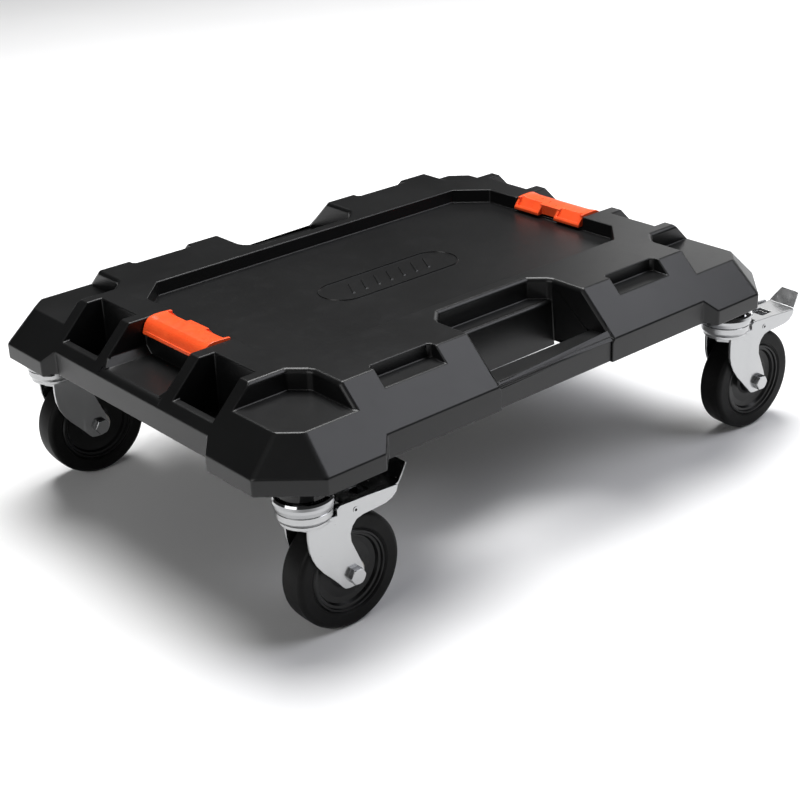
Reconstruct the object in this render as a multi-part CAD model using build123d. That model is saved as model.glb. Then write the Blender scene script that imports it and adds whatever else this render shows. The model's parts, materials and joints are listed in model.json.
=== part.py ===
"""Four-castor tool-box dolly: a moulded plastic deck, two rocker latches and four swivel castors."""
from build123d import *
from math import atan2, cos, hypot, radians, sin, sqrt, tan
import os

# ---------------------------------------------------------------- driving dimensions (millimetres)
# Heights are above the floor; the deck is laid out about its own centre and shifted at the end.
DECK_SHIFT_X = -25.29        # puts the origin under the middle of the whole dolly, castors included

# deck
WALL = 3.2                   # moulded wall thickness
DECK_HALF_X = 296.0          # corner blocks, half length
DECK_HALF_Y = 222.4          # corner blocks, half width
SIDE_STEP = 9.8              # how far the sides between the blocks stand back
BLOCK_END_X = 197.5          # where a corner block ends along the long side
BLOCK_END_Y = 124.8          # where a corner block ends along the short side
TOP_HALF_X = 250.0           # flat top, half length
TOP_HALF_Y = 175.2           # flat top, half width
Z_TOP = 197.5
Z_BLOCK_RIM = 151.9          # top of the upright rim at the corner blocks
Z_BLOCK_BOTTOM = 137.3
Z_SIDE_BOTTOM = 139.5
CHAMFER_X = 41.1             # corner chamfer at the rim
CHAMFER_Y = 38.7
LIP = 2.6                    # bevelled lip round the pockets

# load recess in the flat top
RECESS_HALF_X = 207.6
RECESS_HALF_Y = 110.2
RECESS_CORNER = 27.5
Z_RECESS = 184.3

# corner platforms, one on each block
PLATFORM_X = 202.0
PLATFORM_Y = 126.0
PLATFORM_CORNER = 14.0
Z_PLATFORM = 179.4

# small pockets in the long edges
NOTCH_X0 = 103.0
NOTCH_X1 = 167.0
NOTCH_Y = 167.5
Z_NOTCH = 185.5

# pockets between the ribs of the short sides
RIB_INNER_Y = 45.0           # the latch opening lies between these
RIB_OUTER_Y = 58.0
CORNER_RIB_Y = 112.5
POCKET_BACK_X = 235.5
POCKET_LEDGE_X = 272.0
Z_POCKET_LEDGE = 168.8
Z_POCKET_FLOOR = 147.0
Z_LATCH_FLOOR = 166.8
Z_BAY_WALL_TOP = 183.6       # wall between the finger opening and the latch bay
FOOT_WEDGE = 6.5             # sloping foot of the ribs beside the latch opening
FLOOR_ROLL = 9.0             # the floor of the finger opening rolls over into the slope

# hand-holds in the long sides
HOLD_HALF_X = 66.5
HOLD_BACK_Y = 123.8
HOLD_CORNER = 14.0
LEDGE_EDGE_Y = 140.0
LEDGE_ROUND = 4.0
Z_LEDGE = 178.2
SLOT_FOOT_Y = 143.5          # the back wall of the slot leans out to here at its foot
Z_SLOT_FOOT = 135.8
BAR_HALF_X = 67.7
BAR_OUTER_Y = 210.7
BAR_INNER_Y = 186.0
Z_BAR_TOP = 163.6
Z_BAR_BOTTOM = 140.6

# stiffening ribs under the deck
RIB_THICK = 2.4
Z_RIB_BOTTOM = 142.0
RIB_LINES_X = (0.0, 44.0, 88.0, 132.0, 176.0, 220.0)
RIB_LINES_Y = (0.0, 47.0, 94.0, 150.0)

# rocker latches
LATCH_HALF_Y = 43.8
LATCH_WALL = 2.6
LATCH_RIM = 2.4              # raised rim at the ends and along the foot of the latch
LATCH_DISH = 0.9             # how far the face lies below that rim
LATCH_PIVOT_X = 222.0
Z_LATCH_PIVOT = 184.0
LATCH_PIN_R = 2.0
LATCH_PIN_HALF = 52.0
LATCH_HUB_R = 5.0
PAD_INNER_Y = 10.5           # the two catch pads lie outside this
PAD_BORDER = 2.8             # border at the sides of each pad's sunk face
RUNNING = 0.06               # radial clearance of a turning fit

# castors
SWIVEL_X = 252.7
SWIVEL_Y = 188.0
TRAIL = 31.0
WHEEL_R = 50.0
TYRE_HALF = 12.8
TYRE_INNER_R = 35.4
HUB_HALF = 13.4
BUSH_FLANGE = 1.8
BUSH_FLANGE_R = 11.6
FORK_OUTER = 18.3
FORK_FRONT = 16.2            # half width over the legs at their front edge
FORK_THICK = 2.6
Z_CROWN = 104.6
CROWN_THICK = 3.0
BOSS_R = 21.0
Z_BOSS = 129.2
CAP_R = 24.8
Z_CAP_RIM = 117.4
RACE_R = 22.8
BALL_R = 2.4
BALL_RING_R = 17.2
Z_BALLS = 122.3              # centres of the bearing balls
BALL_GAP = 0.5               # balls to either raceway
STEM_R = 6.0                 # M12 stem
Z_STEM_TOP = 152.0
INSERT_FLATS = 22.0          # threaded insert in the deck boss
INSERT_FLANGE = 1.8
INSERT_FLANGE_R = 15.0
Z_INSERT_TOP = 151.0
AXLE_R = 4.0                 # M8 axle bolt
AXLE_FLATS = 13.0
AXLE_HEAD = 5.3
SLEEVE_R = 6.0
BUSH_R = 9.0
PEDAL_PIN_X = 35.0
Z_PEDAL_PIN = 106.0
PEDAL_PIN_R = 2.0
SHOE_GAP = 2.4               # shoe to tread with the brake off

# name, side in X, side in Y, resting swivel angle in degrees, fitted with a brake
CASTORS = (
    ("front_left", -1, -1, -1.2, True),
    ("front_right", 1, -1, -3.5, True),
    ("back_left", -1, 1, -2.9, False),
    ("back_right", 1, 1, -3.0, False),
)


# ---------------------------------------------------------------- helpers
def slab(x0, x1, y0, y1, z0, z1):
    """A box between two corners."""
    return Pos((x0 + x1) / 2, (y0 + y1) / 2, (z0 + z1) / 2) * Box(abs(x1 - x0), abs(y1 - y0), abs(z1 - z0))


def prism(points, z0, z1, taper=0.0):
    """A plan outline drawn up from z0 to z1."""
    face = make_face(Polyline(*points, close=True))
    return extrude(Plane.XY.offset(z0) * face, z1 - z0, taper=taper)


def side_prism(points, y0, y1):
    """An outline in the X-Z plane drawn from y0 to y1."""
    face = make_face(Polyline(*[(x, 0, z) for x, z in points], close=True))
    return Pos(0, y0, 0) * extrude(face, y1 - y0, dir=(0, 1, 0))


def across(points, x0, x1):
    """An outline in the Y-Z plane drawn from x0 to x1."""
    face = make_face(Polyline(*[(x0, y, z) for y, z in points], close=True))
    return extrude(face, x1 - x0, dir=(1, 0, 0))


def rod(radius, x, z, y0, y1):
    """A round bar along Y."""
    return Pos(x, (y0 + y1) / 2, z) * Rot(90, 0, 0) * Cylinder(radius, abs(y1 - y0))


def upright(radius, z0, z1):
    """A round bar along Z on the axis."""
    return Pos(0, 0, (z0 + z1) / 2) * Cylinder(radius, z1 - z0)


def hexagon(across_flats, z0, z1):
    """A hexagonal bar along Z on the axis."""
    return extrude(Plane.XY.offset(z0) * RegularPolygon(across_flats / sqrt(3), 6), z1 - z0)


def four_ways(points):
    """A closed outline from the points of one quadrant, listed from the X side to the Y side."""
    right_back = list(points)
    left_back = [(-x, y) for x, y in reversed(points)]
    left_front = [(-x, -y) for x, y in points]
    right_front = [(x, -y) for x, y in reversed(points)]
    return right_back + left_back + left_front + right_front


def in_four_quadrants(solid):
    """The solid and its three mirror images."""
    pair = [solid, mirror(solid, Plane.YZ)]
    return pair + [mirror(item, Plane.XZ) for item in pair]


def on_both(solid, plane):
    """The solid and its mirror image."""
    return [solid, mirror(solid, plane)]


def group(shapes):
    """Several separate solids as one node."""
    return Compound([solid for shape in shapes for solid in shape.solids()])


# ---------------------------------------------------------------- deck envelope
def rim_outline(inset):
    """Plan outline of the deck: corner blocks, stepped-back sides and chamfered corners."""
    half_x = DECK_HALF_X - inset
    half_y = DECK_HALF_Y - inset
    slant = (sqrt(2) - 1) * inset
    length = hypot(CHAMFER_X, CHAMFER_Y)
    normal_x = CHAMFER_Y / length
    normal_y = CHAMFER_X / length
    reach = DECK_HALF_X * normal_x + (DECK_HALF_Y - CHAMFER_Y) * normal_y - inset
    return four_ways([
        (half_x - SIDE_STEP, BLOCK_END_Y - SIDE_STEP + slant),
        (half_x, BLOCK_END_Y + slant),
        (half_x, (reach - normal_x * half_x) / normal_y),
        ((reach - normal_y * half_y) / normal_x, half_y),
        (BLOCK_END_X + slant, half_y),
        (BLOCK_END_X - SIDE_STEP + slant, half_y - SIDE_STEP),
    ])


def slope_planes(inset):
    """The eight sloping faces, each as a point on it and its outward normal."""
    drop = Z_TOP - Z_BLOCK_RIM
    top_corner = Vector(TOP_HALF_X, TOP_HALF_Y, Z_TOP)
    chamfer = Vector(-CHAMFER_X, CHAMFER_Y, 0)
    down = Vector(DECK_HALF_X - TOP_HALF_X, DECK_HALF_Y - CHAMFER_Y - TOP_HALF_Y, -drop)
    corner = down.cross(chamfer).normalized()
    long_side = Vector(0, drop, DECK_HALF_Y - TOP_HALF_Y).normalized()
    short_side = Vector(drop, 0, DECK_HALF_X - TOP_HALF_X).normalized()
    planes = []
    for sx in (1, -1):
        for sy in (1, -1):
            for normal in (corner, long_side, short_side):
                outward = Vector(normal.X * sx, normal.Y * sy, normal.Z)
                point = Vector(top_corner.X * sx, top_corner.Y * sy, Z_TOP) - outward * inset
                planes.append((point, outward))
    return planes


def envelope(inset, z_bottom):
    """The hipped body of the deck, pulled in by a wall thickness if wanted."""
    body = prism(rim_outline(inset), z_bottom, Z_TOP - inset)
    for point, outward in slope_planes(inset):
        body = split(body, bisect_by=Plane(origin=point, z_dir=outward), keep=Keep.BOTTOM)
    return body


# ---------------------------------------------------------------- deck pockets
# Each pocket can be grown by a wall thickness, which gives the wall that lines it.
ABOVE = Z_TOP + 20.0
OUTSIDE_X = DECK_HALF_X + 30.0
OUTSIDE_Y = DECK_HALF_Y + 30.0


def octagon(half_x, half_y, corner):
    """Rectangle with its four corners cut off at 45 degrees."""
    return four_ways([(half_x, half_y - corner), (half_x - corner, half_y)])


def load_recess(grow):
    return prism(octagon(RECESS_HALF_X + grow, RECESS_HALF_Y + grow, RECESS_CORNER), Z_RECESS - grow, ABOVE)


def platform_pocket(grow):
    """Open pocket on the front left block."""
    x = -PLATFORM_X + grow
    y = -PLATFORM_Y + grow
    outline = [
        (-OUTSIDE_X, y),
        (x - PLATFORM_CORNER, y),
        (x, y - PLATFORM_CORNER),
        (x, -OUTSIDE_Y),
        (-OUTSIDE_X, -OUTSIDE_Y),
    ]
    return prism(outline, Z_PLATFORM - grow, ABOVE)


def notch_pocket(grow):
    """Small pocket in the front edge, left of the hand-hold."""
    x0 = -NOTCH_X1 - grow
    x1 = -NOTCH_X0 + grow
    y = -NOTCH_Y + grow
    corner = 2.5
    outline = [(x0, -OUTSIDE_Y), (x1, -OUTSIDE_Y), (x1, y - corner), (x1 - corner, y), (x0 + corner, y),
               (x0, y - corner)]
    return prism(outline, Z_NOTCH - grow, ABOVE)


def side_pocket(grow):
    """Deep pocket of the left side, between the rib beside the latch and the corner rib."""
    y0 = -CORNER_RIB_Y - grow
    y1 = -RIB_OUTER_Y + grow
    back = -POCKET_BACK_X + grow
    deep = slab(-POCKET_LEDGE_X - grow, back, y0, y1, Z_POCKET_FLOOR - grow, ABOVE)
    return deep + slab(-OUTSIDE_X, back, y0, y1, Z_POCKET_LEDGE - grow, ABOVE)


def latch_opening(grow):
    """Finger opening and latch bay in the middle of the left side."""
    half = RIB_INNER_Y + grow
    back = -POCKET_BACK_X + grow
    bay_x0 = -POCKET_BACK_X + WALL - grow
    bay_x1 = -RECESS_HALF_X - WALL + grow
    opening = slab(-OUTSIDE_X, back, -half, half, Z_LATCH_FLOOR - grow, ABOVE)
    bay = slab(bay_x0, bay_x1, -half, half, Z_LATCH_FLOOR - grow, ABOVE)
    middle = (bay_x0 + bay_x1) / 2
    over_inner = slab(middle, -RECESS_HALF_X + 1.0, -half, half, Z_RECESS + 2.0 - grow, ABOVE)
    over_outer = slab(-TOP_HALF_X, middle, -half, half, Z_BAY_WALL_TOP - grow, ABOVE)
    return opening + bay + over_inner + over_outer


def rib_feet(outer):
    """Sloping feet of the two ribs beside the latch opening, trimmed to the outside of the deck."""
    section = [(-RIB_INNER_Y, Z_LATCH_FLOOR), (-RIB_INNER_Y + FOOT_WEDGE, Z_LATCH_FLOOR),
               (-RIB_INNER_Y, Z_LATCH_FLOOR + FOOT_WEDGE)]
    foot = across(section, -OUTSIDE_X, -POCKET_BACK_X) & outer
    return on_both(foot, Plane.XZ)


def hold_outline(grow):
    """Plan outline of the front hand-hold."""
    half = HOLD_HALF_X + grow
    back = -HOLD_BACK_Y + grow
    return [(-half, -OUTSIDE_Y), (half, -OUTSIDE_Y), (half, back - HOLD_CORNER), (half - HOLD_CORNER, back),
            (-half + HOLD_CORNER, back), (-half, back - HOLD_CORNER)]


def hold_pocket(grow):
    """Hand-hold of the front side: a ledge at the back, and a slot down through the deck."""
    half = HOLD_HALF_X + grow
    upper = prism(hold_outline(grow), Z_LEDGE - grow, ABOVE)
    section = [(-OUTSIDE_Y, ABOVE), (-LEDGE_EDGE_Y + grow, ABOVE), (-LEDGE_EDGE_Y + grow, Z_LEDGE),
               (-SLOT_FOOT_Y + grow, Z_SLOT_FOOT), (-SLOT_FOOT_Y + grow, Z_SLOT_FOOT - 20.0),
               (-OUTSIDE_Y, Z_SLOT_FOOT - 20.0)]
    return upper + across(section, -half, half)


def pockets(grow):
    """Every pocket of the deck."""
    found = [load_recess(grow)]
    found += in_four_quadrants(platform_pocket(grow))
    found += in_four_quadrants(notch_pocket(grow))
    found += in_four_quadrants(side_pocket(grow))
    found += on_both(latch_opening(grow), Plane.YZ)
    found += on_both(hold_pocket(grow), Plane.XZ)
    return found


def lip_edges(body):
    """Top edges of the hand-holds and the corner platforms, which carry a bevelled lip."""
    def is_lip(edge):
        middle = edge.position_at(0.5)
        x = abs(middle.X)
        y = abs(middle.Y)
        on_top = abs(middle.Z - Z_TOP) < 0.01
        on_slope = edge.length > 12.0 and Z_PLATFORM < middle.Z < Z_TOP - 1.0
        hold = x < HOLD_HALF_X + 0.01 and HOLD_BACK_Y - 0.01 < y
        platform = x > PLATFORM_X - 0.01 and y > PLATFORM_Y - 0.01
        wall_side = abs(x - HOLD_HALF_X) < 0.01 or abs(x - PLATFORM_X) < 0.01
        return (hold or platform) and (on_top or (on_slope and wall_side))
    return body.edges().filter_by(is_lip)


def ledge_edges(body):
    """Front edges of the two hand-hold ledges."""
    def is_ledge(edge):
        middle = edge.center()
        at_front = abs(abs(middle.Y) - LEDGE_EDGE_Y) < 0.01 and abs(middle.Z - Z_LEDGE) < 0.01
        return at_front and edge.length > HOLD_HALF_X
    return body.edges().filter_by(is_ledge)


def floor_roll():
    """What is cut off the left finger opening's floor where it rolls over into the slope."""
    run = DECK_HALF_X - TOP_HALF_X
    drop = Z_TOP - Z_BLOCK_RIM
    corner_x = -TOP_HALF_X - (Z_TOP - Z_LATCH_FLOOR) * run / drop
    reach = FLOOR_ROLL * tan(atan2(drop, run) / 2)
    start_x = corner_x + reach
    length = hypot(run, drop)
    above = Z_LATCH_FLOOR + 1.0
    wedge = [(start_x, Z_LATCH_FLOOR), (corner_x, above), (corner_x - reach, above),
             (corner_x - reach * run / length, Z_LATCH_FLOOR - reach * drop / length)]
    round_bar = rod(FLOOR_ROLL, start_x, Z_LATCH_FLOOR - FLOOR_ROLL, -RIB_INNER_Y, RIB_INNER_Y)
    return side_prism(wedge, -RIB_INNER_Y, RIB_INNER_Y) - round_bar


# ---------------------------------------------------------------- deck
def slot_apron():
    """Foot of the back wall of the front hand-hold's slot, which hangs below the other walls."""
    section = [(-SLOT_FOOT_Y, Z_SLOT_FOOT), (-SLOT_FOOT_Y + WALL, Z_SLOT_FOOT),
               (-SLOT_FOOT_Y + WALL, Z_SIDE_BOTTOM + 3.0), (-SLOT_FOOT_Y + 0.6, Z_SIDE_BOTTOM + 3.0)]
    return across(section, -HOLD_HALF_X - 1.0, HOLD_HALF_X + 1.0)


def handle_bar():
    """Channel-section bar across the front hand-hold."""
    outer = [(-BAR_OUTER_Y, Z_BAR_BOTTOM), (-BAR_OUTER_Y, Z_BAR_TOP), (-BAR_INNER_Y, Z_BAR_TOP - 0.8),
             (-BAR_INNER_Y, Z_BAR_BOTTOM)]
    bar = across(outer, -BAR_HALF_X, BAR_HALF_X)
    crest = [edge for edge in bar.edges().filter_by(Axis.X) if edge.center().Z > Z_BAR_TOP - 1.0]
    front = min(crest, key=lambda edge: edge.center().Y)
    back = max(crest, key=lambda edge: edge.center().Y)
    bar = fillet(front, 4.5)
    bar = fillet(bar.edges().sort_by_distance(back.center())[0], 1.5)
    channel = slab(-BAR_HALF_X, BAR_HALF_X, -BAR_OUTER_Y + WALL, -BAR_INNER_Y - WALL, Z_BAR_BOTTOM - 5.0,
                   Z_BAR_TOP - WALL - 1.6)
    webs = [slab(x - RIB_THICK / 2, x + RIB_THICK / 2, -BAR_OUTER_Y + 1.0, -BAR_INNER_Y - 1.0,
                 Z_RIB_BOTTOM, Z_BAR_TOP - WALL) for x in (-44.0, -22.0, 0.0, 22.0, 44.0)]
    return (bar - channel) + webs


def stiffeners():
    """Crossed ribs under the deck."""
    half = RIB_THICK / 2
    ribs = []
    for x in sorted({s * line for line in RIB_LINES_X for s in (1, -1)}):
        ribs.append(slab(x - half, x + half, -DECK_HALF_Y, DECK_HALF_Y, Z_RIB_BOTTOM, Z_TOP))
    for y in sorted({s * line for line in RIB_LINES_Y for s in (1, -1)}):
        ribs.append(slab(-DECK_HALF_X, DECK_HALF_X, y - half, y + half, Z_RIB_BOTTOM, Z_TOP))
    return ribs


def castor_bosses(z_bottom):
    """Round bosses that the castors screw into, with gussets to the rim."""
    bosses = []
    for _, sx, sy, _, _ in CASTORS:
        boss = upright(BOSS_R, z_bottom, Z_TOP)
        for turn in (0, 45, 90, 135):
            boss += Rot(0, 0, turn) * slab(-34.0, 34.0, -RIB_THICK / 2, RIB_THICK / 2, Z_RIB_BOTTOM, Z_TOP)
        bosses.append(Pos(sx * SWIVEL_X, sy * SWIVEL_Y, 0) * boss)
    return bosses


def insert_hole():
    """Space of the threaded insert in a boss."""
    hole = hexagon(INSERT_FLATS, Z_BOSS + INSERT_FLANGE, Z_INSERT_TOP)
    hole += upright(INSERT_FLANGE_R, Z_BOSS - 1.0, Z_BOSS + INSERT_FLANGE)
    return hole + upright(STEM_R + 0.5, Z_BOSS, Z_STEM_TOP + 2.0)


def make_deck():
    outer = envelope(0.0, Z_BLOCK_BOTTOM)
    shape = outer - slab(-BLOCK_END_X + SIDE_STEP / 2, BLOCK_END_X - SIDE_STEP / 2, -OUTSIDE_Y, OUTSIDE_Y,
                         Z_BLOCK_BOTTOM - 5.0, Z_SIDE_BOTTOM)
    shape -= slab(-OUTSIDE_X, OUTSIDE_X, -BLOCK_END_Y + SIDE_STEP / 2, BLOCK_END_Y - SIDE_STEP / 2,
                  Z_BLOCK_BOTTOM - 5.0, Z_SIDE_BOTTOM)
    for pocket in pockets(0.0):
        shape -= pocket
    shape = chamfer(lip_edges(shape), LIP)
    shape = fillet(ledge_edges(shape), LEDGE_ROUND)
    shape -= on_both(floor_roll(), Plane.YZ)
    for foot in rib_feet(outer):
        shape += on_both(foot, Plane.YZ)
    hollow = envelope(WALL, Z_BLOCK_BOTTOM - 15.0)
    for pocket in pockets(WALL):
        hollow -= pocket
    hollow -= stiffeners()
    hollow -= castor_bosses(Z_BOSS)
    deck = shape - hollow
    deck += on_both(handle_bar(), Plane.XZ)
    deck += on_both(slot_apron(), Plane.XZ)
    boss_feet = [Pos(sx * SWIVEL_X, sy * SWIVEL_Y, 0) * upright(BOSS_R, Z_BOSS, Z_BLOCK_BOTTOM + 1.0)
                 for _, sx, sy, _, _ in CASTORS]
    deck += boss_feet
    for _, sx, sy, _, _ in CASTORS:
        deck -= Pos(sx * SWIVEL_X, sy * SWIVEL_Y, 0) * insert_hole()
    for side in (-1, 1):
        deck -= rod(LATCH_PIN_R + 0.02, side * LATCH_PIVOT_X, Z_LATCH_PIVOT, -LATCH_PIN_HALF, LATCH_PIN_HALF)
    return deck


# ---------------------------------------------------------------- latches
def latch_curve(sink):
    """Outer surface of the latch, from the catch edge over the crown to the foot, sunk by an amount."""
    return [(209.2, 198.3 - sink), (213.0, 198.7 - sink), (219.0, 199.1 - sink), (226.0, 199.2 - sink),
            (230.2 - sink * 0.3, 198.5 - sink), (233.4 - sink * 0.6, 196.7 - sink * 0.9),
            (235.8 - sink * 0.9, 194.0 - sink * 0.6), (237.4 - sink, 190.8 - sink * 0.3),
            (238.5 - sink, 187.8), (239.3 - sink, 185.2)]


def latch_dish():
    """What is removed from the face of the latch inside its rim, fading out towards the two ends."""
    above = [(246.0, 187.6), (246.0, 215.0), (195.0, 215.0)]
    edge_y = LATCH_HALF_Y - LATCH_RIM
    sections = []
    for y, sink in ((-edge_y, 0.0), (-edge_y + 7.0, LATCH_DISH), (edge_y - 7.0, LATCH_DISH), (edge_y, 0.0)):
        outline = latch_curve(sink)[:-1] + above + [(195.0, 198.0 - sink)]
        sections.append(make_face(Polyline(*[(x, y, z) for x, z in outline], close=True)))
    return [loft([near, far], ruled=True) for near, far in zip(sections, sections[1:])]


def catch_pads():
    """Two wedges along the inner edge, each with a sloping face sunk between two side borders."""
    wedge = [(214.5, 198.6), (211.0, 198.2), (203.6, 189.4), (203.6, 187.0), (209.0, 187.0), (214.5, 195.0)]
    sunk = [(214.6, 199.0), (212.7, 196.7), (207.0, 190.0), (203.2, 193.2), (203.2, 205.0), (214.6, 205.0)]
    pad = side_prism(wedge, PAD_INNER_Y, LATCH_HALF_Y)
    pad_cut = side_prism(sunk, PAD_INNER_Y + PAD_BORDER, LATCH_HALF_Y - PAD_BORDER)
    return pad, pad_cut


def make_latch():
    """Rocker latch of the right side: a dished sheet with two catch pads along its inner edge."""
    inner = [(236.9, 184.6), (235.2, 189.6), (232.6, 193.8), (229.4, 195.9), (225.6, 196.6), (217.0, 196.2),
             (211.6, 195.4), (211.2, 187.6), (209.2, 187.6)]
    body = side_prism(latch_curve(0.0) + inner, -LATCH_HALF_Y, LATCH_HALF_Y)
    pad, pad_cut = catch_pads()
    body += on_both(pad, Plane.XZ)
    body -= latch_dish()
    body -= on_both(pad_cut, Plane.XZ)
    cheek_outline = [(208.4, 188.4), (208.4, 194.0), (213.0, 197.4), (228.0, 198.0), (233.0, 195.6),
                     (236.0, 191.0), (231.0, 190.6), (226.8, 185.0), (LATCH_PIVOT_X, Z_LATCH_PIVOT - 3.0),
                     (217.4, 185.4)]
    for side in (-1, 1):
        y1 = side * LATCH_HALF_Y
        y0 = side * (LATCH_HALF_Y - LATCH_WALL)
        body += side_prism(cheek_outline, min(y0, y1), max(y0, y1))
        body += rod(LATCH_HUB_R, LATCH_PIVOT_X, Z_LATCH_PIVOT, y1, side * (LATCH_HALF_Y - 7.0))
    bore_half = LATCH_HALF_Y + 1.0
    return body - rod(LATCH_PIN_R + RUNNING, LATCH_PIVOT_X, Z_LATCH_PIVOT, -bore_half, bore_half)


def make_latch_pin():
    return rod(LATCH_PIN_R, LATCH_PIVOT_X, Z_LATCH_PIVOT, -LATCH_PIN_HALF, LATCH_PIN_HALF)


def make_latch_springs():
    """Two torsion springs on the pin, as closed turns."""
    wire_r = 0.6
    turns = []
    for side in (-1, 1):
        for turn in range(5):
            y = side * (24.0 + turn * 1.35)
            ring = Rot(90, 0, 0) * Torus(LATCH_PIN_R + wire_r + 0.3, wire_r)
            turns.append(Pos(LATCH_PIVOT_X, y, Z_LATCH_PIVOT) * ring)
    return group(turns)


# ---------------------------------------------------------------- castors, about their own swivel axis
def make_insert():
    """Threaded steel insert of a deck boss."""
    body = hexagon(INSERT_FLATS - 0.1, Z_BOSS + INSERT_FLANGE, Z_INSERT_TOP)
    body += upright(INSERT_FLANGE_R - 0.1, Z_BOSS, Z_BOSS + INSERT_FLANGE)
    return body - upright(STEM_R + 0.02, Z_BOSS - 1.0, Z_INSERT_TOP + 1.0)


def make_stem():
    """Threaded stem with the king pin and its hexagonal head."""
    stem = upright(STEM_R, Z_CROWN - 6.4, Z_STEM_TOP)
    return stem + hexagon(19.0, Z_CROWN - 6.4, Z_CROWN - 0.4)


def make_cap():
    """Domed upper raceway."""
    z_top = Z_BOSS - 0.3
    z_track = Z_BALLS + BALL_R + BALL_GAP
    outside = [(STEM_R + 0.02, z_top), (CAP_R - 4.6, z_top), (CAP_R - 2.9, z_top - 0.5),
               (CAP_R - 1.5, z_top - 1.6), (CAP_R - 0.5, z_top - 3.4), (CAP_R, z_top - 5.6),
               (CAP_R - 0.2, z_top - 8.4), (CAP_R - 1.0, Z_CAP_RIM)]
    inside = [(CAP_R - 2.6, Z_CAP_RIM), (CAP_R - 2.2, z_top - 6.4), (CAP_R - 3.6, z_track + 0.3),
              (CAP_R - 4.4, z_track), (STEM_R + 0.02, z_track)]
    face = make_face(Polyline(*[(r, 0, z) for r, z in outside + inside], close=True))
    return revolve(face, Axis.Z)


def make_race():
    """Lower raceway, fixed to the fork."""
    z0 = Z_CROWN + CROWN_THICK
    z_track = Z_BALLS - BALL_R - BALL_GAP
    section = [(STEM_R + 2.0, z0), (RACE_R - 1.8, z0), (RACE_R - 0.8, z0 + 1.4), (RACE_R, z0 + 3.0),
               (RACE_R, 115.6), (RACE_R - 1.0, 116.8), (RACE_R - 2.4, 117.0), (RACE_R - 2.8, z_track),
               (14.0, z_track), (12.6, z_track + 1.2), (STEM_R + 2.0, z_track + 1.2)]
    face = make_face(Polyline(*[(r, 0, z) for r, z in section], close=True))
    return revolve(face, Axis.Z)


def make_balls():
    """Ball ring between the raceways."""
    count = 16
    angles = [radians(360 * i / count) for i in range(count)]
    return group([Pos(BALL_RING_R * cos(angle), BALL_RING_R * sin(angle), Z_BALLS) * Sphere(BALL_R)
                  for angle in angles])


def leg_outline(braked):
    """Side outline of a fork leg; a braked one has an ear that runs back under the pedal."""
    front = [(-9.0, Z_CROWN + CROWN_THICK), (-9.4, 95.0), (-8.8, 85.0), (-7.0, 77.6), (-3.6, 70.4),
             (2.2, 62.2), (10.4, 53.4), (15.0, 48.0), (18.6, 43.4), (21.4, 40.8), (25.6, 39.9), (32.0, 39.9),
             (37.0, 41.3), (40.2, 45.4), (40.4, 52.0), (38.0, 59.4), (34.2, 68.6)]
    if braked:
        rear = [(29.6, 79.8), (29.1, 87.4), (31.4, 93.2), (35.8, 97.6), (42.0, 99.2), (54.0, 99.6),
                (65.0, 100.4), (71.6, 102.8), (76.0, 106.8), (77.4, 111.0), (76.8, 112.2), (40.0, 114.2),
                (20.0, 114.8), (17.4, 113.0), (17.4, Z_CROWN + CROWN_THICK)]
    else:
        rear = [(28.6, 82.0), (25.0, 92.0), (22.8, 98.0), (22.0, Z_CROWN + CROWN_THICK)]
    return front + rear


def make_fork(braked):
    """Pressed fork: two legs, bent in towards the front, under a flat crown."""
    middle = FORK_OUTER - FORK_THICK / 2
    bend_x = 16.8
    front_x = -11.0
    half = FORK_THICK / 2
    front_y = FORK_FRONT - half
    step_y = front_y + (middle - front_y) * 0.45
    centre_line = [(front_x, front_y), (bend_x - 2.2, step_y), (bend_x, middle), (90.0, middle)]
    strip = [(x, y - half) for x, y in centre_line] + [(x, y + half) for x, y in reversed(centre_line)]
    sheet = prism(strip, 30.0, 120.0)
    leg = sheet & side_prism(leg_outline(braked), 0.0, 40.0)
    crown_shape = [(-18.0, 6.0), (front_x, FORK_FRONT), (bend_x, FORK_OUTER), (22.0, FORK_OUTER)]
    crown_points = crown_shape + [(x, -y) for x, y in reversed(crown_shape)]
    fork = prism(crown_points, Z_CROWN, Z_CROWN + CROWN_THICK) + on_both(leg, Plane.XZ)
    fork += upright(20.6, Z_CROWN, Z_CROWN + CROWN_THICK)
    fork -= upright(STEM_R + RUNNING, Z_CROWN - 1.0, Z_CROWN + CROWN_THICK + 1.0)
    fork -= rod(AXLE_R + 0.05, TRAIL, WHEEL_R, -FORK_OUTER - 2.0, FORK_OUTER + 2.0)
    if braked:
        fork -= rod(PEDAL_PIN_R + 0.02, PEDAL_PIN_X, Z_PEDAL_PIN, -FORK_OUTER - 2.0, FORK_OUTER + 2.0)
    return fork


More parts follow.
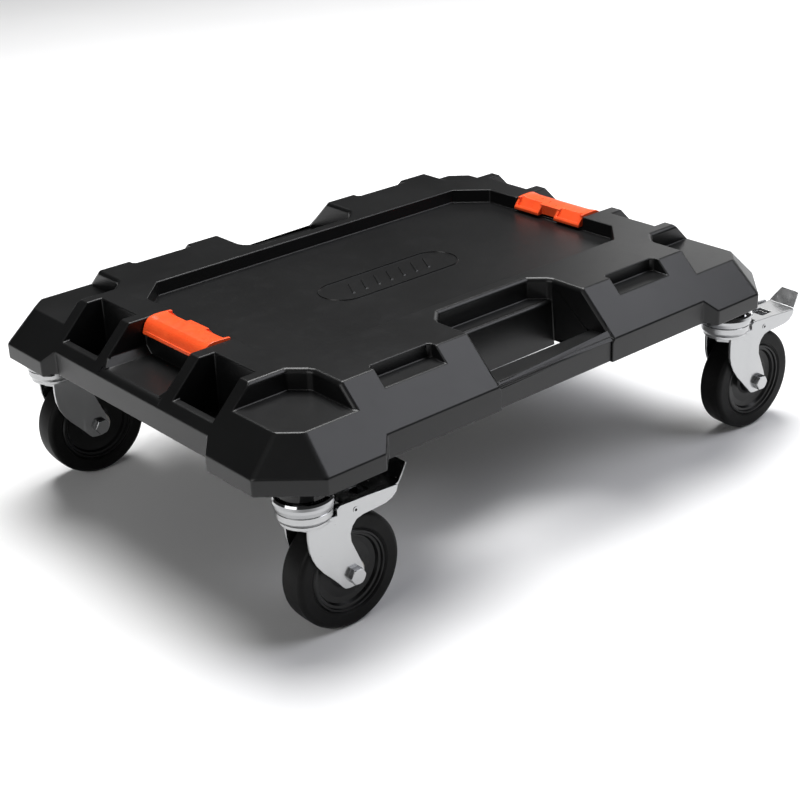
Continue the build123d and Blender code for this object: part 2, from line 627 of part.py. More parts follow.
def make_tyre():
    """Solid rubber tyre with rounded shoulders, revolved about the axle."""
    shoulder = 5.0
    flank = 37.4
    section = [(TYRE_INNER_R, -11.2), (flank, -TYRE_HALF), (WHEEL_R - shoulder, -TYRE_HALF)]
    near = Polyline(*[(r, 0, y) for r, y in section])
    bulge = shoulder * (1 - 1 / sqrt(2))
    low = ThreePointArc((WHEEL_R - shoulder, 0, -TYRE_HALF), (WHEEL_R - bulge, 0, -TYRE_HALF + bulge),
                        (WHEEL_R - 0.3, 0, -TYRE_HALF + shoulder))
    tread = ThreePointArc((WHEEL_R - 0.3, 0, -TYRE_HALF + shoulder), (WHEEL_R, 0, 0),
                          (WHEEL_R - 0.3, 0, TYRE_HALF - shoulder))
    high = ThreePointArc((WHEEL_R - 0.3, 0, TYRE_HALF - shoulder), (WHEEL_R - bulge, 0, TYRE_HALF - bulge),
                         (WHEEL_R - shoulder, 0, TYRE_HALF))
    far = Polyline((WHEEL_R - shoulder, 0, TYRE_HALF), (flank, 0, TYRE_HALF), (TYRE_INNER_R, 0, 11.2),
                   (TYRE_INNER_R, 0, -11.2))
    return on_axle(revolve(make_face(near + low + tread + high + far), Axis.Z))


def make_hub():
    """Moulded wheel centre with a stepped rim, a thin web and a bored boss."""
    half = [(TYRE_INNER_R, 11.2), (34.2, 12.2), (33.0, 12.2), (32.2, 10.2), (30.2, 9.8), (28.8, 7.2),
            (24.0, 6.4), (16.0, 6.4), (13.8, 7.6), (12.9, 12.4), (12.0, HUB_HALF), (BUSH_R, HUB_HALF)]
    section = half + [(r, -y) for r, y in reversed(half)]
    return on_axle(revolve(make_face(Polyline(*[(r, 0, y) for r, y in section], close=True)), Axis.Z))


def make_bushes():
    """Two flanged plain bushes pressed into the hub."""
    inner = SLEEVE_R + RUNNING
    face_y = HUB_HALF + BUSH_FLANGE
    section = [(inner, 3.0), (BUSH_R, 3.0), (BUSH_R, HUB_HALF), (BUSH_FLANGE_R, HUB_HALF),
               (BUSH_FLANGE_R, face_y), (inner, face_y)]
    bush = revolve(make_face(Polyline(*[(r, 0, y) for r, y in section], close=True)), Axis.Z)
    return group([on_axle(bush), on_axle(mirror(bush, Plane.XY))])


def on_axle(solid):
    """Turn something made about Z so that it lies about the wheel's axle."""
    return Pos(TRAIL, 0, WHEEL_R) * Rot(-90, 0, 0) * solid


def make_sleeve():
    half = FORK_OUTER - FORK_THICK
    tube = rod(SLEEVE_R, TRAIL, WHEEL_R, -half, half)
    return tube - rod(AXLE_R + 0.05, TRAIL, WHEEL_R, -half - 1.0, half + 1.0)


def make_axle_bolt():
    """Axle bolt, head on the near leg."""
    chamfer_cone = Pos(0, 0, -FORK_OUTER - AXLE_HEAD / 2) * Cone(
        AXLE_FLATS / 2 - 0.3, AXLE_FLATS / 2 - 0.3 + 2 * AXLE_HEAD, AXLE_HEAD)
    head = on_axle(hexagon(AXLE_FLATS, -FORK_OUTER - AXLE_HEAD, -FORK_OUTER) & chamfer_cone)
    return head + rod(AXLE_R, TRAIL, WHEEL_R, -FORK_OUTER - 1.0, FORK_OUTER + 8.0)


def make_axle_nut():
    nut = on_axle(hexagon(AXLE_FLATS, FORK_OUTER, FORK_OUTER + 6.8))
    return nut - rod(AXLE_R + 0.02, TRAIL, WHEEL_R, FORK_OUTER - 1.0, FORK_OUTER + 9.0)


def make_pedal():
    """Brake pedal: a channel between the ears with an upturned tongue."""
    thick = 2.0
    half = FORK_OUTER - FORK_THICK - 0.6
    plate = side_prism([(28.0, 112.6), (74.0, 110.8), (80.2, 111.5), (92.6, 123.4), (94.0, 122.0),
                        (81.1, 109.6), (74.0, 108.8), (28.0, 112.6 - thick)], -half, half)
    tongue = [(28.0, -half), (79.0, -half), (86.0, -half + 2.2), (95.0, -half + 6.0), (95.0, half - 6.0),
              (86.0, half - 2.2), (79.0, half), (28.0, half)]
    plate &= prism(tongue, 90.0, 130.0)
    flange = side_prism([(29.0, 112.0), (29.0, 102.4), (33.0, 101.6), (40.0, 101.6), (58.0, 104.6),
                         (76.0, 106.4), (79.0, 109.6), (74.0, 110.2)], half - thick, half)
    window = prism([(41.0, -4.0), (44.0, -8.5), (58.0, -7.0), (58.0, 7.0), (44.0, 8.5), (41.0, 4.0)],
                   100.0, 120.0)
    pedal = plate + on_both(flange, Plane.XZ) - window
    return pedal - rod(PEDAL_PIN_R + RUNNING, PEDAL_PIN_X, Z_PEDAL_PIN, -FORK_OUTER, FORK_OUTER)


def make_pedal_pin():
    """Tubular rivet through both ears, flared a little at its ends."""
    reach = FORK_OUTER + 0.4
    pin = rod(PEDAL_PIN_R, PEDAL_PIN_X, Z_PEDAL_PIN, -reach, reach)
    pin += on_both(rod(PEDAL_PIN_R + 0.5, PEDAL_PIN_X, Z_PEDAL_PIN, FORK_OUTER, reach), Plane.XZ)
    return pin - rod(PEDAL_PIN_R - 0.8, PEDAL_PIN_X, Z_PEDAL_PIN, -reach - 1.0, reach + 1.0)


def make_shoe():
    """Brake shoe under the pedal, curved to the tread."""
    block = side_prism([(43.0, 110.0), (60.0, 109.3), (60.0, 80.0), (43.0, 80.0)], -10.5, 10.5)
    reach = rod(WHEEL_R + SHOE_GAP, TRAIL, WHEEL_R, -12.0, 12.0)
    clear = rod(WHEEL_R + SHOE_GAP + 3.4, TRAIL, WHEEL_R, -6.5, 6.5)
    block -= side_prism([(47.0, 120.0), (56.0, 120.0), (56.0, 80.0), (47.0, 80.0)], -6.5, 6.5) - clear
    return block - reach


# ---------------------------------------------------------------- placing and writing
def write(node, shape):
    shape = Pos(DECK_SHIFT_X, 0, 0) * shape
    shape.label = node
    export_step(shape, f"parts/{node}.step")


def write_castor(name, side_x, side_y, angle, braked):
    place = Location((side_x * SWIVEL_X, side_y * SWIVEL_Y, 0), (0, 0, angle))
    pieces = {
        "cap": make_cap(),
        "balls": make_balls(),
        "race": make_race(),
        "fork": make_fork(braked),
        "tyre": make_tyre(),
        "hub": make_hub(),
        "bushes": make_bushes(),
        "axle_sleeve": make_sleeve(),
        "axle_bolt": make_axle_bolt(),
        "axle_nut": make_axle_nut(),
    }
    if braked:
        pieces["pedal"] = make_pedal()
        pieces["pedal_pin"] = make_pedal_pin()
        pieces["brake_shoe"] = make_shoe()
    for piece, shape in pieces.items():
        write(f"{piece}_{name}", place * shape)


def main():
    os.makedirs("parts", exist_ok=True)
    write("deck", make_deck())
    spots = [Location((sx * SWIVEL_X, sy * SWIVEL_Y, 0)) for _, sx, sy, _, _ in CASTORS]
    write("threaded_inserts", group([spot * make_insert() for spot in spots]))
    write("castor_stems", group([spot * make_stem() for spot in spots]))
    for side, name in ((1, "right"), (-1, "left")):
        for piece, shape in (("latch", make_latch()), ("latch_pin", make_latch_pin()),
                             ("latch_springs", make_latch_springs())):
            write(f"{piece}_{name}", shape if side > 0 else mirror(shape, Plane.YZ))
    for castor in CASTORS:
        write_castor(*castor)


main()
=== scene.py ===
import json
from math import cos, pi, radians, sin

import bmesh
import bpy
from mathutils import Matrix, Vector
from mathutils.bvhtree import BVHTree


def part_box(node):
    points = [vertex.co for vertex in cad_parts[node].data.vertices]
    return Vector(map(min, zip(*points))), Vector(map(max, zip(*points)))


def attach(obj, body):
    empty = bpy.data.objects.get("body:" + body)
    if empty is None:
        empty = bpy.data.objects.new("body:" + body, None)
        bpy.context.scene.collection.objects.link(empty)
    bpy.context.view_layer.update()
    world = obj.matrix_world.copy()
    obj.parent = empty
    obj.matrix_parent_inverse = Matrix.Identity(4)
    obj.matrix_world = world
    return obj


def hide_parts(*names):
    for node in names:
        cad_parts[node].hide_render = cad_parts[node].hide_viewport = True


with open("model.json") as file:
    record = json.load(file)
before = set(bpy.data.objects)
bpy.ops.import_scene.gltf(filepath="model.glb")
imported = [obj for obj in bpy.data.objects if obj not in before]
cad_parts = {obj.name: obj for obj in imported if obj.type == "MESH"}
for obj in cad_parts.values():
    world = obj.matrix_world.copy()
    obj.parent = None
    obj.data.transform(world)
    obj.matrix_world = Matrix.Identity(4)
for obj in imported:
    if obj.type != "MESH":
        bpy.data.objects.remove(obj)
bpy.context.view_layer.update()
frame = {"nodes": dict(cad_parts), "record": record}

MM = 0.001
CASTOR_NAMES = ("front_left", "front_right", "back_left", "back_right")
BRAKED = ("front_left", "front_right")

# The deck's own middle: its box is symmetric, and the whole dolly's box isn't.
deck_low, deck_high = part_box("deck")
DECK_MIDDLE = (deck_low + deck_high) / 2
Z_RECESS = frame["record"]["mounts"][0]["pos_m"][2]


# ---------------------------------------------------------------- material building blocks
class Tree:
    """A material's nodes, made with short calls that return the output to link from."""

    def __init__(self, name):
        self.material = bpy.data.materials.new(name)
        self.material.use_nodes = True
        self.nodes = self.material.node_tree.nodes
        self.links = self.material.node_tree.links
        self.nodes.clear()
        self.place = self.nodes.new("ShaderNodeTexCoord").outputs["Object"]

    def put(self, socket, value):
        """Links an output to the socket, or sets its value."""
        if isinstance(value, bpy.types.NodeSocket):
            self.links.new(value, socket)
        else:
            socket.default_value = value

    def stretched(self, scale):
        """Object coordinates scaled by a different amount along each axis."""
        node = self.nodes.new("ShaderNodeMapping")
        self.put(node.inputs["Vector"], self.place)
        node.inputs["Scale"].default_value = scale
        return node.outputs["Vector"]

    def noise(self, scale, detail=2.0, roughness=0.5, at=None):
        node = self.nodes.new("ShaderNodeTexNoise")
        self.put(node.inputs["Vector"], at or self.place)
        node.inputs["Scale"].default_value = scale
        node.inputs["Detail"].default_value = detail
        node.inputs["Roughness"].default_value = roughness
        return node.outputs["Fac"]

    def cells(self, scale):
        node = self.nodes.new("ShaderNodeTexVoronoi")
        self.put(node.inputs["Vector"], self.place)
        node.inputs["Scale"].default_value = scale
        return node.outputs["Distance"]

    def ramp(self, factor, low, high, from_low=0.3, from_high=0.7):
        """Maps factor between from_low and from_high to a number between low and high."""
        node = self.nodes.new("ShaderNodeMapRange")
        node.clamp = True
        self.put(node.inputs["Value"], factor)
        node.inputs["From Min"].default_value = from_low
        node.inputs["From Max"].default_value = from_high
        node.inputs["To Min"].default_value = low
        node.inputs["To Max"].default_value = high
        return node.outputs["Result"]

    def mixed(self, factor, first, second):
        """A colour between first and second."""
        node = self.nodes.new("ShaderNodeMix")
        node.data_type = "RGBA"
        self.put(node.inputs["Factor"], factor)
        self.put(node.inputs["A"], first)
        self.put(node.inputs["B"], second)
        return node.outputs["Result"]

    def sum(self, first, second, operation="ADD"):
        """The sum of two numbers, or their product with "MULTIPLY"."""
        node = self.nodes.new("ShaderNodeMath")
        node.operation = operation
        self.put(node.inputs[0], first)
        self.put(node.inputs[1], second)
        return node.outputs["Value"]

    def edge_mask(self, radius):
        """1 along rounded-off edges and 0 on open faces."""
        soft = self.nodes.new("ShaderNodeBevel")
        soft.samples = 4
        soft.inputs["Radius"].default_value = radius
        surface = self.nodes.new("ShaderNodeNewGeometry")
        dot = self.nodes.new("ShaderNodeVectorMath")
        dot.operation = "DOT_PRODUCT"
        self.put(dot.inputs[0], soft.outputs["Normal"])
        self.put(dot.inputs[1], surface.outputs["Normal"])
        return self.ramp(dot.outputs["Value"], 1.0, 0.0, from_low=0.80, from_high=0.995)

    def bump(self, height, distance, strength, under=None):
        node = self.nodes.new("ShaderNodeBump")
        node.inputs["Strength"].default_value = strength
        node.inputs["Distance"].default_value = distance
        self.put(node.inputs["Height"], height)
        if under is not None:
            self.put(node.inputs["Normal"], under)
        return node.outputs["Normal"]

    def finish(self, colour, roughness, normal, **fixed):
        """The principled shader on top; fixed values go straight on its own sockets."""
        shader = self.nodes.new("ShaderNodeBsdfPrincipled")
        self.put(shader.inputs["Base Color"], colour)
        self.put(shader.inputs["Roughness"], roughness)
        self.put(shader.inputs["Normal"], normal)
        for name, value in fixed.items():
            shader.inputs[name.replace("_", " ")].default_value = value
        output = self.nodes.new("ShaderNodeOutputMaterial")
        self.put(output.inputs["Surface"], shader.outputs["BSDF"])
        return self.material


def grey(value, tint=0.0):
    """A grey, a little blue with a positive tint and a little warm with a negative one."""
    return (value * (1 - tint), value, value * (1 + tint), 1.0)


# ---------------------------------------------------------------- materials
def deck_plastic():
    """Black polypropylene: spark-eroded grain, slow flow marks, and a painted highlight along every rounded
    edge, made patchy and stronger where the edges are rubbed.
    """
    tree = Tree("deck_plastic")
    flow = tree.noise(9.0, detail=3.0)
    grain = tree.noise(2600.0, detail=1.0)
    pits = tree.cells(1500.0)
    edge = tree.edge_mask(1.6 * MM)
    scuff = tree.ramp(tree.noise(70.0, detail=6.0, roughness=0.65), 0.0, 1.0, 0.52, 0.70)
    # Painted highlight: every rounded edge is mixed at least a quarter of the way to a lighter grey, and
    # further in scuffed patches.
    wear_and_edge_highlight = tree.sum(edge, tree.ramp(scuff, 0.25, 0.85, 0.0, 1.0), "MULTIPLY")
    base = tree.mixed(tree.ramp(flow, 0.0, 1.0), grey(0.0032, 0.03), grey(0.0044, 0.04))
    colour = tree.mixed(wear_and_edge_highlight, base, grey(0.020, 0.02))
    cloud = tree.ramp(flow, 0.315, 0.35)
    roughness = tree.sum(cloud, tree.ramp(scuff, 0.0, 0.025, 0.0, 1.0))
    fine = tree.bump(grain, 0.05 * MM, 0.30)
    normal = tree.bump(pits, 0.06 * MM, 0.22, under=fine)
    return tree.finish(colour, roughness, normal, IOR=1.50, Specular_IOR_Level=0.36)


def latch_plastic():
    """Orange polypropylene with a satin skin and a faint swirl of pigment."""
    tree = Tree("latch_plastic")
    swirl = tree.noise(60.0, detail=4.0)
    edge = tree.edge_mask(0.8 * MM)
    colour = tree.mixed(tree.ramp(swirl, 0.0, 1.0), (0.86, 0.082, 0.017, 1.0), (0.94, 0.105, 0.022, 1.0))
    # Painted highlight: every rounded edge is mixed about a third of the way to a lighter orange.
    colour = tree.mixed(tree.sum(edge, 0.35, "MULTIPLY"), colour, (0.98, 0.26, 0.10, 1.0))
    roughness = tree.ramp(tree.noise(160.0, detail=4.0), 0.27, 0.36)
    normal = tree.bump(tree.noise(1900.0, detail=1.0), 0.04 * MM, 0.22)
    return tree.finish(colour, roughness, normal, IOR=1.49, Subsurface_Weight=0.08,
                       Subsurface_Radius=(0.004, 0.001, 0.0006), Subsurface_Scale=0.5)


def plated(name, level, rough_low, rough_high, tint):
    """Bright plating over pressed steel: soft mottling, fine drawing lines and dull spots."""
    tree = Tree(name)
    mottle = tree.noise(140.0, detail=5.0, roughness=0.6)
    lines = tree.noise(900.0, detail=2.0, at=tree.stretched((1.0, 1.0, 0.12)))
    spots = tree.ramp(tree.noise(420.0, detail=3.0), 0.0, 1.0, 0.62, 0.74)
    edge = tree.edge_mask(0.6 * MM)
    bright = tree.mixed(tree.ramp(mottle, 0.0, 1.0), grey(level * 0.955, tint), grey(level, tint))
    colour = tree.mixed(tree.sum(spots, 0.12, "MULTIPLY"), bright, grey(level * 0.62, -tint))
    # Painted highlight: every rounded edge is mixed part of the way to a brighter grey.
    colour = tree.mixed(tree.sum(edge, 0.4, "MULTIPLY"), colour, grey(min(level * 1.1, 0.95), tint))
    roughness = tree.sum(tree.ramp(mottle, rough_low, rough_high), tree.sum(spots, 0.04, "MULTIPLY"))
    wave = tree.bump(tree.noise(40.0, detail=1.0), 0.20 * MM, 0.07)
    normal = tree.bump(lines, 0.02 * MM, 0.10, under=wave)
    return tree.finish(colour, roughness, normal, Metallic=1.0)


def tyre_rubber():
    """Black rubber, dusty in its pores, its roughness varying in broad blotches."""
    tree = Tree("tyre")
    dust = tree.ramp(tree.noise(240.0, detail=6.0, roughness=0.7), 0.0, 1.0, 0.48, 0.75)
    colour = tree.mixed(tree.sum(dust, 0.5, "MULTIPLY"), grey(0.0028), grey(0.008, -0.03))
    roughness = tree.ramp(tree.noise(35.0, detail=3.0), 0.44, 0.56)
    fine = tree.bump(tree.noise(1500.0, detail=2.0), 0.06 * MM, 0.25)
    normal = tree.bump(tree.cells(420.0), 0.05 * MM, 0.10, under=fine)
    return tree.finish(colour, roughness, normal, IOR=1.50, Specular_IOR_Level=0.13)


def hub_plastic():
    """Glossy black nylon wheel centre with a moulded skin."""
    tree = Tree("hub_plastic")
    flow = tree.noise(45.0, detail=3.0)
    edge = tree.edge_mask(0.8 * MM)
    colour = tree.mixed(tree.ramp(flow, 0.0, 1.0), grey(0.0032, 0.03), grey(0.0045, 0.03))
    # Painted highlight: every rounded edge is mixed part of the way to a lighter grey.
    colour = tree.mixed(tree.sum(edge, 0.3, "MULTIPLY"), colour, grey(0.035))
    roughness = tree.ramp(flow, 0.26, 0.34)
    normal = tree.bump(tree.noise(1300.0, detail=1.0), 0.05 * MM, 0.16)
    return tree.finish(colour, roughness, normal, IOR=1.50, Specular_IOR_Level=0.24)


def bush_plastic():
    """Natural nylon."""
    tree = Tree("bush_plastic")
    cloud = tree.noise(200.0, detail=3.0)
    colour = tree.mixed(tree.ramp(cloud, 0.0, 1.0), (0.52, 0.49, 0.42, 1.0), (0.62, 0.60, 0.54, 1.0))
    roughness = tree.ramp(cloud, 0.38, 0.48)
    normal = tree.bump(tree.noise(1500.0, detail=1.0), 0.04 * MM, 0.2)
    return tree.finish(colour, roughness, normal, IOR=1.53)


def make_materials():
    return {
        "deck_plastic": deck_plastic(),
        "latch_plastic": latch_plastic(),
        "chrome": plated("chrome", 0.40, 0.06, 0.11, 0.012),
        "zinc": plated("zinc", 0.43, 0.20, 0.26, 0.008),
        "spring_steel": plated("spring_steel", 0.48, 0.26, 0.36, 0.0),
        "tyre": tyre_rubber(),
        "hub_plastic": hub_plastic(),
        "bush_plastic": bush_plastic(),
    }


SLOT_OF = {item["node"]: item["material_slot"] for item in frame["record"]["subparts"]}
BODY_OF = {node: body for body, nodes in frame["record"]["behaviour"]["bodies"].items() for node in nodes}
MATERIALS = make_materials()


# ---------------------------------------------------------------- shapes from the CAD nodes
WELD = 0.002 * MM            # corners nearer than this are one corner
FLAT = radians(0.6)          # faces that turn by less than this are one face
FACE_WEIGHT = 60             # how strongly large faces decide the shading beside a rounding


def own_mesh(node):
    """The CAD node's shape with its seams closed and its flat faces made whole."""
    shape = bmesh.new()
    shape.from_mesh(frame["nodes"][node].data)
    bmesh.ops.remove_doubles(shape, verts=shape.verts, dist=WELD)
    bmesh.ops.dissolve_limit(shape, angle_limit=FLAT, verts=shape.verts, edges=shape.edges)
    shape.normal_update()
    return shape


def sharp_edges(shape, least, keep=None):
    """Edges that turn by more than least degrees, where keep accepts them."""
    found = []
    for edge in shape.edges:
        if not edge.is_manifold or edge.calc_face_angle() < radians(least):
            continue
        if keep is None or keep(edge):
            found.append(edge)
    return found


def round_edges(shape, edges, width, segments):
    bmesh.ops.bevel(shape, geom=edges, offset=width, offset_type="OFFSET", segments=segments, profile=0.5,
                    affect="EDGES", clamp_overlap=False, loop_slide=True)


def show(name, shape, node, smooth_below=35.0, stands_for_node=True):
    """Turns the shape into a piece of the CAD node's body and material, mostly in place of that node."""
    mesh = bpy.data.meshes.new(name)
    shape.to_mesh(mesh)
    shape.free()
    mesh.polygons.foreach_set("use_smooth", [True] * len(mesh.polygons))
    mesh.set_sharp_from_angle(angle=radians(smooth_below))
    mesh.materials.append(MATERIALS[SLOT_OF[node]])
    piece = bpy.data.objects.new(name, mesh)
    bpy.context.scene.collection.objects.link(piece)
    weigh = piece.modifiers.new("even_shading", "WEIGHTED_NORMAL")
    weigh.keep_sharp = True
    weigh.weight = FACE_WEIGHT
    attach(piece, BODY_OF[node])
    if stands_for_node:
        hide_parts(node)
    return piece


def rounded_piece(node, width, segments=2, least=25.0, smooth_below=35.0):
    """A piece like the CAD node with every sharp edge rounded off."""
    shape = own_mesh(node)
    round_edges(shape, sharp_edges(shape, least), width, segments)
    return show(node + "_skin", shape, node, smooth_below)


# ---------------------------------------------------------------- deck
DECK_ROUND = 1.3 * MM
HIP_ROUND = 3.2 * MM         # between two outer slopes
DECK_SHARP = 12.0            # an edge that turns by more degrees than this is rounded
LOOK_OFF = 0.5 * MM          # how far in front of a face the look upwards starts
UP_LEAST = 0.5               # a sloping outer face points up at least this much, an upright one hardly
UP_MOST = 0.98               # and at most this much, where a level one points straight up
SLOPE_LEAST = 900.0 * MM * MM    # a smaller sloping face is a lip, not an outer slope
SHARE_OF_ROOM = 0.42         # of a narrow face's width that one rounding may take
OVERLAP_LEAST = 0.02         # of an edge's length that another has to run beside it
PLENTY = 1.0                 # metres, wider than any face
STRAY = 0.55 * MM            # a point of a rounding isn't farther than this from the CAD surface


def open_to_the_sky(shape):
    """Faces with nothing above them, which are the deck's outer ones."""
    tree = BVHTree.FromBMesh(shape)
    seen = set()
    for face in shape.faces:
        start = face.calc_center_median() + face.normal * LOOK_OFF
        if tree.ray_cast(start, Vector((0, 0, 1)))[0] is None:
            seen.add(face)
    return seen


def is_hip(edge):
    """Edge between two of the deck's outer slopes."""
    return all(UP_LEAST < face.normal.z < UP_MOST and face.calc_area() > SLOPE_LEAST
               for face in edge.link_faces)


def room_beside(edge, rounded):
    """Least width of the edge's two faces, up to the next rounded edge across them."""
    start = edge.verts[0].co
    along = edge.verts[1].co - start
    room = [PLENTY]
    for face in edge.link_faces:
        for other in face.edges:
            if other not in rounded or set(other.verts) & set(edge.verts):
                continue
            offsets = [vert.co - start for vert in other.verts]
            shares = [offset.dot(along) / along.length_squared for offset in offsets]
            if min(max(shares), 1.0) - max(min(shares), 0.0) > OVERLAP_LEAST:
                room += [(offset - along * share).length for offset, share in zip(offsets, shares)]
    return min(room)


def weighted_rounding(shape, widths, widest, segments):
    """Rounds each edge, given by its index, by its own width and returns the new shape."""
    weights = shape.edges.layers.float.new("bevel_weight_edge")
    shape.edges.ensure_lookup_table()
    for index, width in widths.items():
        shape.edges[index][weights] = width / widest
    mesh = bpy.data.meshes.new("rounding")
    shape.to_mesh(mesh)
    shape.free()
    holder = bpy.data.objects.new("rounding", mesh)
    bpy.context.scene.collection.objects.link(holder)
    bevel = holder.modifiers.new("rounding", "BEVEL")
    bevel.limit_method = "WEIGHT"
    bevel.offset_type = "OFFSET"
    bevel.width = widest
    bevel.segments = segments
    bevel.use_clamp_overlap = False
    rounded = bpy.data.meshes.new_from_object(holder.evaluated_get(bpy.context.evaluated_depsgraph_get()))
    bpy.data.objects.remove(holder)
    bpy.data.meshes.remove(mesh)
    result = bmesh.new()
    result.from_mesh(rounded)
    bpy.data.meshes.remove(rounded)
    return result


def rounding_widths(shape, edges):
    """The width of each edge's rounding, by the edge's index, narrower where there is little room."""
    shape.edges.index_update()
    rounded = set(edges)
    widths = {}
    for edge in edges:
        wanted = HIP_ROUND if is_hip(edge) else DECK_ROUND
        room = room_beside(edge, rounded)
        widths[edge.index] = wanted if room > 2 * wanted else SHARE_OF_ROOM * room
    return widths


def put_back_strays(shape, surface):
    """Moves points that a rounding threw off the surface back onto it."""
    for vert in shape.verts:
        nearest, _, _, distance = surface.find_nearest(vert.co)
        if distance > STRAY:
            vert.co = nearest


def make_deck():
    shape = own_mesh("deck")
    outer = open_to_the_sky(shape)
    edges = sharp_edges(shape, DECK_SHARP, keep=lambda edge: any(face in outer for face in edge.link_faces))
    widths = rounding_widths(shape, edges)
    surface = BVHTree.FromBMesh(shape)
    shape = weighted_rounding(shape, widths, HIP_ROUND, 3)
    put_back_strays(shape, surface)
    return show("deck_skin", shape, "deck", smooth_below=40.0)


# ---------------------------------------------------------------- raised pattern in the load recess
PATTERN_MIDDLE = (-3.0 * MM, -2.5 * MM)
PATTERN_HALF_X = 77.0 * MM
PATTERN_HALF_Y = 22.5 * MM
BEAD_HALF = 0.9 * MM
BEAD_HEIGHT = 0.9 * MM
BEAD_CROWN = 0.5             # the bead's width at its top, as a share of its foot
BEAD_FOOT = 0.3 * MM         # how far the pattern reaches down into the floor
RIB_COUNT = 7
RIB_STEP = 15.0 * MM
RIB_SIZE = (3.2 * MM, 22.0 * MM)
RIB_CROWN = 0.7              # a rib's width at its top, as a share of its foot
RIB_SLANT = 12.0 * MM


def stadium(half_x, half_y, steps=24):
    """Points round a strip with two half-round ends."""
    points = []
    for side, first in ((1, -90.0), (-1, 90.0)):
        for step in range(steps + 1):
            turn = radians(first + 180.0 * step / steps)
            points.append((side * (half_x - half_y) + half_y * cos(turn), half_y * sin(turn)))
    return points


def make_pattern():
    """A plain raised outline with slanted ribs inside it."""
    shape = bmesh.new()
    z0 = Z_RECESS - BEAD_FOOT
    z1 = Z_RECESS + BEAD_HEIGHT
    crown = BEAD_HALF * BEAD_CROWN
    profile = ((BEAD_HALF, z0), (crown, z1), (-crown, z1), (-BEAD_HALF, z0))
    rings = []
    for grow, z in profile:
        outline = stadium(PATTERN_HALF_X + grow, PATTERN_HALF_Y + grow)
        rings.append([shape.verts.new((x, y, z)) for x, y in outline])
    for ring, following in zip(rings, rings[1:] + rings[:1]):
        for i in range(len(ring)):
            k = (i + 1) % len(ring)
            shape.faces.new((ring[i], ring[k], following[k], following[i]))
    for index in range(RIB_COUNT):
        middle_x = (index - (RIB_COUNT - 1) / 2) * RIB_STEP
        corners = []
        for half_scale, z in ((1.0, z0), (RIB_CROWN, z1)):
            for sx, sy in ((-1, -1), (1, -1), (1, 1), (-1, 1)):
                y = sy * (RIB_SIZE[1] / 2 - (1 - half_scale) * RIB_SIZE[0])
                x = middle_x + sx * RIB_SIZE[0] / 2 * half_scale + y / RIB_SIZE[1] * RIB_SLANT
                corners.append(shape.verts.new((x, y, z)))
        low, top = corners[:4], corners[4:]
        shape.faces.new(top)
        shape.faces.new(low[::-1])
        for i in range(4):
            k = (i + 1) % 4
            shape.faces.new((low[i], low[k], top[k], top[i]))
    bmesh.ops.recalc_face_normals(shape, faces=shape.faces)
    shift = Vector((DECK_MIDDLE.x + PATTERN_MIDDLE[0], DECK_MIDDLE.y + PATTERN_MIDDLE[1], 0.0))
    bmesh.ops.translate(shape, vec=shift, verts=shape.verts)
    return show("recess_pattern", shape, "deck", smooth_below=30.0, stands_for_node=False)


# ---------------------------------------------------------------- castors and latches
FORK_ROUND = 0.45 * MM
HEXAGON_ROUND = 0.35 * MM
PEDAL_ROUND = 0.35 * MM
LATCH_ROUND = 0.4 * MM


def make_castors():
    for name in CASTOR_NAMES:
        rounded_piece(f"fork_{name}", FORK_ROUND, least=30.0)
        rounded_piece(f"axle_bolt_{name}", HEXAGON_ROUND, least=40.0)
        rounded_piece(f"axle_nut_{name}", HEXAGON_ROUND, least=40.0)
    for name in BRAKED:
        rounded_piece(f"pedal_{name}", PEDAL_ROUND, least=30.0)
        rounded_piece(f"brake_shoe_{name}", PEDAL_ROUND, least=30.0)


def make_latches():
    for side in ("left", "right"):
        rounded_piece(f"latch_{side}", LATCH_ROUND, least=20.0)


def dress_other_nodes():
    """The remaining CAD nodes keep their own mesh and get their material."""
    for node, piece in frame["nodes"].items():
        piece.data.materials.clear()
        piece.data.materials.append(MATERIALS[SLOT_OF[node]])


# ---------------------------------------------------------------- studio
def area_light(name, azimuth, elevation, distance, size, radiance, tint):
    """A softbox aimed at the deck; its brightness is set as the radiance of its face."""
    data = bpy.data.lights.new(name, "AREA")
    data.shape = "RECTANGLE"
    data.size, data.size_y = size
    data.energy = radiance * pi * size[0] * size[1]
    data.color = tint
    light = bpy.data.objects.new(name, data)
    flat = distance * cos(radians(elevation))
    height = distance * sin(radians(elevation))
    away = Vector((flat * cos(radians(azimuth)), flat * sin(radians(azimuth)), height))
    light.location = DECK_MIDDLE + away
    light.rotation_euler = (-away).to_track_quat("-Z", "Y").to_euler()
    bpy.context.scene.collection.objects.link(light)


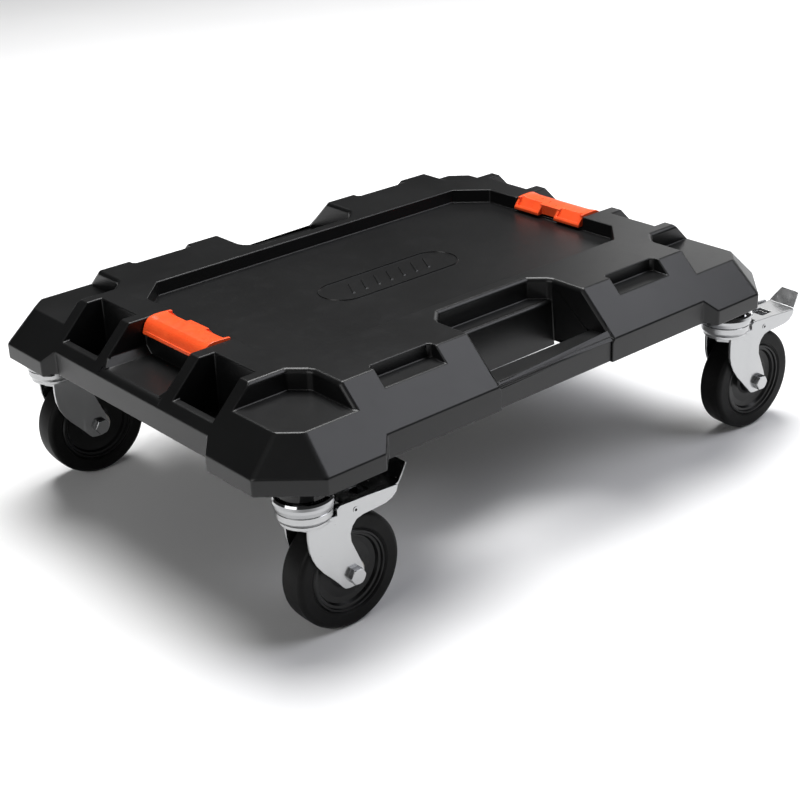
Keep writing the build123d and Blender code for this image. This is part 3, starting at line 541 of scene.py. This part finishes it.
WHITE = (1.0, 1.0, 1.0)
COOL = (0.93, 0.94, 1.0)
SOFTBOXES = (
    # name, azimuth and elevation seen from the deck (degrees), distance, size (metres), radiance, tint
    ("overhead", 55.0, 73.0, 2.7, (1.8, 1.8), 12.0, WHITE),
    ("right_front", -42.0, 44.0, 2.4, (1.7, 1.2), 3.8, COOL),
    ("right_back", 17.0, 18.0, 2.7, (2.0, 1.2), 1.3, WHITE),
    ("left_front", -172.0, 22.0, 2.6, (1.7, 1.1), 3.0, WHITE),
)
WORLD_LEVEL = 0.045
FLOOR_SIZE = 24.0            # metres


def make_studio():
    bpy.ops.mesh.primitive_plane_add(size=FLOOR_SIZE, location=(0, 0, 0))
    floor = bpy.context.object
    floor.name = "floor"
    tree = Tree("floor")
    colour = tree.mixed(tree.ramp(tree.noise(3.0), 0.0, 1.0), grey(0.86), grey(0.88))
    roughness = tree.ramp(tree.noise(5.0), 0.85, 0.95)
    normal = tree.bump(tree.noise(300.0), 0.1 * MM, 0.05)
    floor.data.materials.append(tree.finish(colour, roughness, normal))
    for softbox in SOFTBOXES:
        area_light(*softbox)
    world = bpy.data.worlds.new("studio")
    world.use_nodes = True
    background = world.node_tree.nodes["Background"]
    background.inputs["Color"].default_value = grey(1.0)
    background.inputs["Strength"].default_value = WORLD_LEVEL
    bpy.context.scene.world = world
    bpy.context.scene.view_settings.view_transform = "Standard"


SENSOR = 36.0                # millimetres
LENS = 70.815
CAMERA_FROM_MIDDLE = (-0.8695, -1.0355)      # metres along X and Y from the deck's middle
CAMERA_HEIGHT = 0.6924       # above the floor
CAMERA_TURN = (64.792, 2.107, -41.191)       # degrees


def make_camera():
    """At the photograph's viewing angle."""
    data = bpy.data.cameras.new("camera")
    data.sensor_width = SENSOR
    data.lens = LENS
    camera = bpy.data.objects.new("camera", data)
    away_x, away_y = CAMERA_FROM_MIDDLE
    camera.location = (DECK_MIDDLE.x + away_x, DECK_MIDDLE.y + away_y, CAMERA_HEIGHT)
    camera.rotation_euler = [radians(turn) for turn in CAMERA_TURN]
    bpy.context.scene.collection.objects.link(camera)
    bpy.context.scene.camera = camera


dress_other_nodes()
make_deck()
make_pattern()
make_latches()
make_castors()
make_studio()
make_camera()
